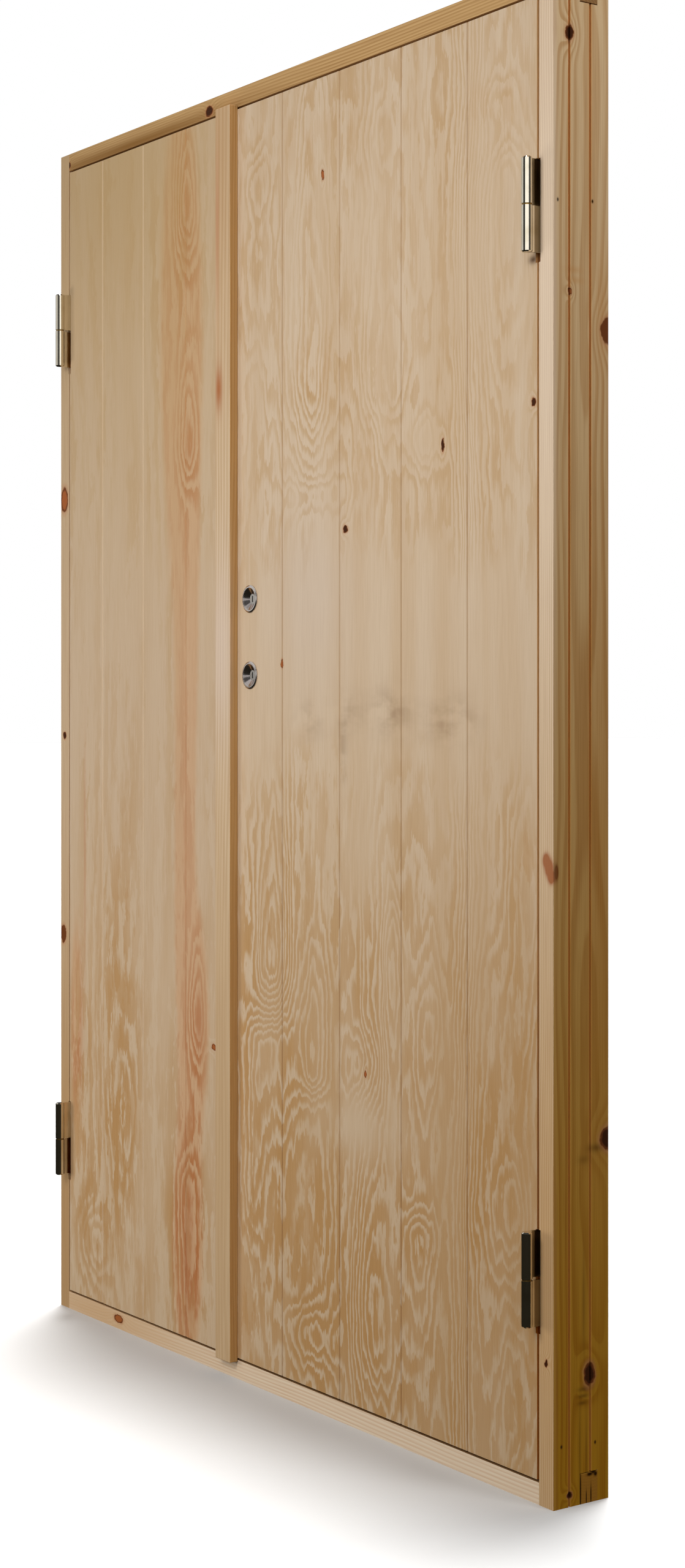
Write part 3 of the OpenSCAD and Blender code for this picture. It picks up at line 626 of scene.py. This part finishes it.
def nail(y, z):
    """The dark mark of a sunk nail in the right jamb's outer face."""
    return (side(y, z), (6, 1.2, 1.8), KERF_BROWN, 2.0)


def tenon_end(x_sign):
    """Weathered end of the sill's tenon, with torn fibres and a dark gap over it, whose darkness is painted
    shade.
    """
    end_x = x_sign * OUTER_X / MM
    middle = FRAME_FRONT_Y / MM + TENON_MIDDLE
    weathered = ((end_x, middle, 18), (9, 60, 60), END_BROWN, 2.0)
    # The first three marks are painted shade in the broken hole over the tenon; the rest are dark lines at
    # its sides
    broken = [
        (2, 33, 4, 2), (8, 35, 3.5, 2), (11, 32, 2.5, 2.5),
        (-12, 15, 1.0, 26), (4, 8, 0.8, 12), (-3, 6, 0.7, 9),
    ]
    return [weathered] + [
        ((end_x, middle + y, z), (9, ry, rz), KERF_BROWN, 1.4) for y, z, ry, rz in broken
    ]


def dress_frame():
    front = FRAME_FRONT_Y / MM
    right_knots = [
        (side(54.5, 150), (14, 8, 13), KNOT_DARK), (side(24, 14), (10, 4, 4), KNOT_DARK),
        (side(25, 1415), (6, 3, 4), KNOT_RED), (side(24, 1715), (12, 6, 9), KNOT_DARK),
        (side(84, 1373), (12, 11, 15), KNOT_RIM), (side(84, 424), (12, 12, 13), KNOT_DARK),
        ((582, front, 168), (3, 8, 4), KNOT_DARK),
    ]
    right_tints = [
        kerf(1, FRONT_KERF), kerf(1, REAR_KERF),
        ((582, front, 752), (5, 4, 7), KNOT_ORANGE, 3.0), ((587, front, 744), (6, 4, 9), KNOT_ORANGE, 3.0),
        ((591, front, 734), (5, 4, 7), KNOT_ORANGE, 3.0), (side(4.5, 739), (9, 2.3, 7), KNOT_SHADE, 3.0),
        nail(12, 72), nail(63.5, 69), nail(6.5, 1519), nail(59.5, 1523),
        # Lighter towards the head and more amber towards the floor: painted light and shade of the lamps'
        # falloff on the jamb's front
        ((582, front, 1450), (30, 5, 480), PALE_PINE, 0.55),
        ((582, front, 250), (30, 5, 380), AMBER_FOOT_SHADE, 0.45),
        (side(72, 700), (20, 16, 420), OLD_AMBER, 0.30),
        (side(74, 1390), (20, 9, 70), RED_AMBER, 0.45),
        (side(66, 414), (20, 14, 5), KERF_BROWN, 0.55), (side(46, 402), (20, 9, 5), KERF_BROWN, 0.30),
        (side(46, 134), (20, 9, 3), KERF_BROWN, 0.55), (side(45, 126), (20, 8, 2.5), KERF_BROWN, 0.55),
        (side(44, 118), (20, 7, 2.5), KERF_BROWN, 0.50), (side(40, 60), (20, 2, 60), KERF_BROWN, 0.35),
        (side(46, 230), (20, 2.5, 60), KERF_BROWN, 0.35), (side(50, 60), (20, 2, 50), KERF_BROWN, 0.30),
        (side(30, 1440), (20, 12, 4), RED_AMBER, 0.45), (side(34, 1428), (20, 12, 4), RED_AMBER, 0.45),
    ]
    left_knots = [
        ((-584, front, 1255), (10, 10, 18), KNOT_RED), ((-583, front, 888), (5, 8, 5), KNOT_DARK),
        ((-587, front, 580), (8, 10, 13), KNOT_RIM),
    ]
    left_tints = [
        kerf(-1, FRONT_KERF), kerf(-1, REAR_KERF),
        ((-582, front, 1720), (30, 6, 480), AMBER_HIGH, 0.35),
        ((-582, front, 120), (30, 6, 420), AMBER_LOW, 0.60),
    ]
    head_knots = [
        ((-570, front, 1772), (5, 10, 5), KNOT_DARK), ((-158, front, 1773), (9, 12, 7), KNOT_DARK),
    ]
    # Painted shade along the head's lower edge over the passive leaf
    head_shade = [((-380, front, 1768), (340, 30, 10), HEAD_SHADE, 0.85)]
    sill_knots = [((-415, front, 15), (12, 10, 6), KNOT_RED)]
    sill_tints = [((-480, front, 12), (290, 20, 40), SILL_AMBER, 0.75)]
    sill_tints += tenon_end(1) + tenon_end(-1)
    dress(["jamb_right"], pine("jamb_right_pine", "Z", (500, 10, 0), 3.4, right_knots, right_tints,
                               late=JAMB_LATE, facing_shade=((1, 0, 0), AMBER_TOP, AMBER_BOTTOM), figure=0.8))
    dress(["jamb_left"], pine("jamb_left_pine", "Z", (-520, 0, 0), 3.6, left_knots, left_tints,
                              early=DULL_PINE, late=JAMB_LATE,
                              facing_shade=((-1, 0, 0), AMBER_TOP, AMBER_BOTTOM)))
    dress(["head"], pine("head_pine", "X", (0, -20, 1720), 3.6, head_knots, head_shade,
                         early=HEAD_EARLY, late=HEAD_LATE))
    # The sill's top is browned all over with painted shade of the gap under the leaves
    dress(["sill"], pine("sill_pine", "X", (0, 10, 70), 3.8, sill_knots, sill_tints,
                         early=SILL_EARLY, late=SILL_LATE, facing_shade=((0, 0, 1), SILL_TOP_SHADE, SILL_TOP_SHADE), shade_low=False))
    strip_low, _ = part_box("cover_strip")
    strip_x = strip_low.x / MM
    strip_y = strip_low.y / MM
    strip_tints = [
        ((strip_x + 16, strip_y, 1700), (30, 5, 260), AMBER_RED, 0.50),
        ((strip_x + 16, strip_y, 1010), (30, 5, 130), STRIP_PALE, 0.45),
        ((strip_x + 16, strip_y, 330), (30, 5, 420), AMBER_LOW, 0.32),
        ((strip_x + 5, strip_y, 1600), (5, 20, 110), RED_WOOD, 0.60),
        ((strip_x + 9, strip_y, 1375), (9, 20, 30), STRIP_RED, 1.0),
    ]
    dress(["cover_strip"], pine("strip_pine", "Z", (-60, 20, 0), 4.2, (), strip_tints,
                                facing_shade=((1, 0, 0), STRIP_SIDE, STRIP_SIDE)))


def dress_fittings():
    pin_low, pin_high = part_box("right_upper_hinge_pin")
    right_axis = tuple((a + b) / 2 / MM for a, b in zip(pin_low, pin_high))
    # Only the right hinges get the painted shade on their plates
    for hand, axis in (("left", None), ("right", right_axis)):
        zinc = metal(f"{hand}_hinge_zinc", colour(222, 214, 196), colour(200, 188, 162), 0.06, 0.12,
                     DRAWN_LONG, axis)
        for level in ("lower", "upper"):
            dress([f"{hand}_{level}_hinge_{part}" for part in ("leaf", "frame")], zinc)
    pin_steel = metal("pin_steel", colour(214, 214, 212), colour(190, 190, 188), 0.12, 0.22)
    pins = [f"{hand}_{level}_hinge_pin" for hand in ("left", "right") for level in ("lower", "upper")]
    dress(pins, pin_steel)
    dress(["hinge_washers"], metal("washer_brass", colour(150, 122, 72), colour(112, 88, 50), 0.30, 0.45))
    screws = metal("screw_zinc", colour(204, 204, 198), colour(168, 166, 156), 0.22, 0.40)
    dress(["frame_screws", "left_leaf_screws", "right_leaf_screws"], screws)
    dress(["lock_faceplate", "strike_plate", "top_bolt_plate", "bottom_bolt_plate", "top_keep",
           "bottom_keep"],
          metal("plate_zinc", colour(200, 200, 198), colour(172, 172, 170), 0.22, 0.36, BRUSHED_LONG))
    dress(["upper_bolt", "lower_bolt", "top_edge_bolt", "bottom_edge_bolt"],
          metal("bolt_nickel", colour(212, 211, 206), colour(188, 186, 180), 0.14, 0.26, BRUSHED_OUT))
    dress(["upper_ring", "lower_ring"],
          metal("ring_chrome", colour(214, 206, 200), colour(190, 180, 172), 0.18, 0.30))
    dress(["upper_cylinder", "lower_cylinder"],
          metal("cylinder_nickel", colour(208, 198, 194), colour(188, 178, 172), 0.14, 0.22))
    dress(["upper_plug", "lower_plug"],
          metal("plug_nickel", colour(190, 187, 180), colour(168, 164, 156), 0.18, 0.28))
    dress(["lock_case"], matt("lock_enamel", colour(52, 52, 54), colour(64, 64, 66), 0.45, 200.0))
    dress(["seal_left", "seal_right", "seal_head", "seal_sill"],
          matt("seal_rubber", colour(38, 37, 36), colour(50, 49, 47), 0.75, 300.0))


# How far the arrises of the boards and of the plywood are eased
WOOD_EDGE = 0.9 * MM
PLY_EDGE = 0.4 * MM
WELD_REACH = 0.01 * MM
SHARP_ANGLE = math.radians(40)


def ease_edges(names, width):
    """Rounds the sharp edges of the named pieces a little."""
    for name in names:
        weld = nodes[name].modifiers.new("weld", "WELD")
        weld.merge_threshold = WELD_REACH
        bevel = nodes[name].modifiers.new("eased_edges", "BEVEL")
        bevel.width = width
        bevel.segments = 2
        bevel.limit_method = "ANGLE"
        bevel.angle_limit = SHARP_ANGLE
        bevel.harden_normals = True


def ease_all_edges():
    wooden = ["jamb_left", "jamb_right", "head", "sill", "cover_strip"]
    ease_edges(wooden, WOOD_EDGE)
    ease_edges(["left_front_panel", "right_front_panel"], PLY_EDGE)


FLOOR_SIZE = 120


def add_floor():
    bpy.ops.mesh.primitive_plane_add(size=FLOOR_SIZE, location=(0, 0, 0))
    floor = bpy.context.object
    floor.name = "floor"
    material, g = new_material("floor_white")
    fleck = g.noise(g.scaled(g.place(), (3.0, 3.0, 3.0)), detail=2.0)
    g.surface({
        "Base Color": g.mix(fleck, colour(216, 216, 216), colour(220, 220, 219)),
        "Roughness": 0.9,
    })
    floor.data.materials.append(material)
    floor.visible_diffuse = False
    floor.visible_glossy = False


def aim(lamp, place, target):
    lamp.location = place
    lamp.rotation_euler = (Vector(target) - Vector(place)).to_track_quat("-Z", "Y").to_euler()


def add_lamp(name, place, target, size, power):
    """A round soft lamp, in watts."""
    data = bpy.data.lights.new(name, "AREA")
    data.shape = "DISK"
    data.size = size
    data.energy = power
    lamp = bpy.data.objects.new(name, data)
    aim(lamp, place, target)
    lamp.visible_glossy = False
    bpy.context.scene.collection.objects.link(lamp)


TOP_FROM = (-0.14, 0.135, 0.98)
TOP_STRENGTH = 4.6
TOP_SPREAD = math.radians(14)


def add_top_light():
    """Broad light from overhead at the back, which makes the soft shadow in front of the sill."""
    data = bpy.data.lights.new("top_light", "SUN")
    data.energy = TOP_STRENGTH
    data.angle = TOP_SPREAD
    lamp = bpy.data.objects.new("top_light", data)
    aim(lamp, TOP_FROM, (0, 0, 0))
    bpy.context.scene.collection.objects.link(lamp)


WALL_WAY = Vector((0.60, -0.73, 0.36))
WALL_GLOW = 0.95
ROOM_GLOW = 0.07
GROUND_TINT = (0.09, 0.08, 0.055, 1)
GROUND_MIRRORED = (0.28, 0.25, 0.18, 1)


def light_world():
    """A dim room with dark ground, and a bright wall at the front right that metals don't mirror."""
    world = bpy.data.worlds.new("studio")
    bpy.context.scene.world = world
    world.use_nodes = True
    g = Graph(world.node_tree)
    way = g.node("TexCoord", {}).outputs["Generated"]
    wall = g.step(g.dot(way, WALL_WAY.normalized()), 0.60, 0.86)
    paths = g.node("LightPath", {}).outputs
    matt_share = g.math("MULTIPLY_ADD", paths["Is Glossy Ray"], -WALL_GLOW, WALL_GLOW)
    strength = g.math("MULTIPLY_ADD", wall, matt_share, ROOM_GLOW)
    low = g.step(g.split(way)[2], -0.10, 0.04)
    ground = g.mix(paths["Is Glossy Ray"], GROUND_TINT, GROUND_MIRRORED)
    tint = g.mix(low, ground, WHITE)
    studio = g.node("Background", {"Color": tint, "Strength": strength})
    backdrop = g.node("Background", {"Color": WHITE, "Strength": 1.0})
    both = g.node("MixShader", {0: paths["Is Camera Ray"], 1: studio.outputs[0], 2: backdrop.outputs[0]})
    g.node("OutputWorld", {"Surface": both.outputs[0]})


def add_pane(name, start, end, low, high, strength):
    """A bright upright pane between two places on plan, which only the metals mirror."""
    run = Vector((end[0] - start[0], end[1] - start[1], 0))
    data = bpy.data.lights.new(name, "AREA")
    data.shape = "RECTANGLE"
    data.size = run.length
    data.size_y = high - low
    data.energy = strength * math.pi * data.size * data.size_y
    pane = bpy.data.objects.new(name, data)
    middle = Vector(((start[0] + end[0]) / 2, (start[1] + end[1]) / 2, (low + high) / 2))
    aim(pane, middle, middle + Vector((-run.y, run.x, 0)))
    pane.visible_camera = False
    pane.visible_diffuse = False
    bpy.context.scene.collection.objects.link(pane)


# Panes: name, start and end on plan, low and high edge, strength. Places are in metres.
PANES = [
    ("right_pane", (0.85, -1.05), (3.2, -0.15), 1.25, 3.0, 1.3),
    ("left_pane", (-3.6, -0.2), (-0.55, -2.2), 0.95, 3.2, 0.62),
    ("low_pane", (-0.55, -2.2), (0.6, -2.2), 0.95, 1.5, 0.5),
]

# Lamps: name, place, target, diameter, power in watts
LAMPS = [
    ("high_lamp", (0.5, -1.7, 1.6), (0.3, 0, 1.25), 0.9, 15.5),
    ("low_lamp", (-1.2, -1.7, 0.5), (-0.4, 0, 0.6), 0.9, 12),
    ("side_lamp", (2.2, 0.4, 2.8), (0.6, 0, 1.2), 0.8, 21),
    ("rear_lamp", (0.3, 2.2, 1.4), (0, 0, 0.9), 1.4, 24),
]


def add_lights():
    light_world()
    for pane in PANES:
        add_pane(*pane)
    add_top_light()
    for lamp in LAMPS:
        add_lamp(*lamp)


def add_camera():
    data = bpy.data.cameras.new("camera")
    data.sensor_width = SENSOR
    data.lens = FOCAL_PX / IMAGE_H * SENSOR
    data.shift_y = (HORIZON_PX - IMAGE_H / 2) / IMAGE_H
    camera = bpy.data.objects.new("camera", data)
    camera.location = CAMERA_PLACE
    camera.rotation_euler = CAMERA_FORWARD.to_track_quat("-Z", "Y").to_euler()
    bpy.context.scene.collection.objects.link(camera)
    bpy.context.scene.camera = camera


dress_leaves()
dress_frame()
dress_fittings()
ease_all_edges()
add_floor()
add_lights()
add_camera()
bpy.context.scene.view_settings.view_transform = "Standard"
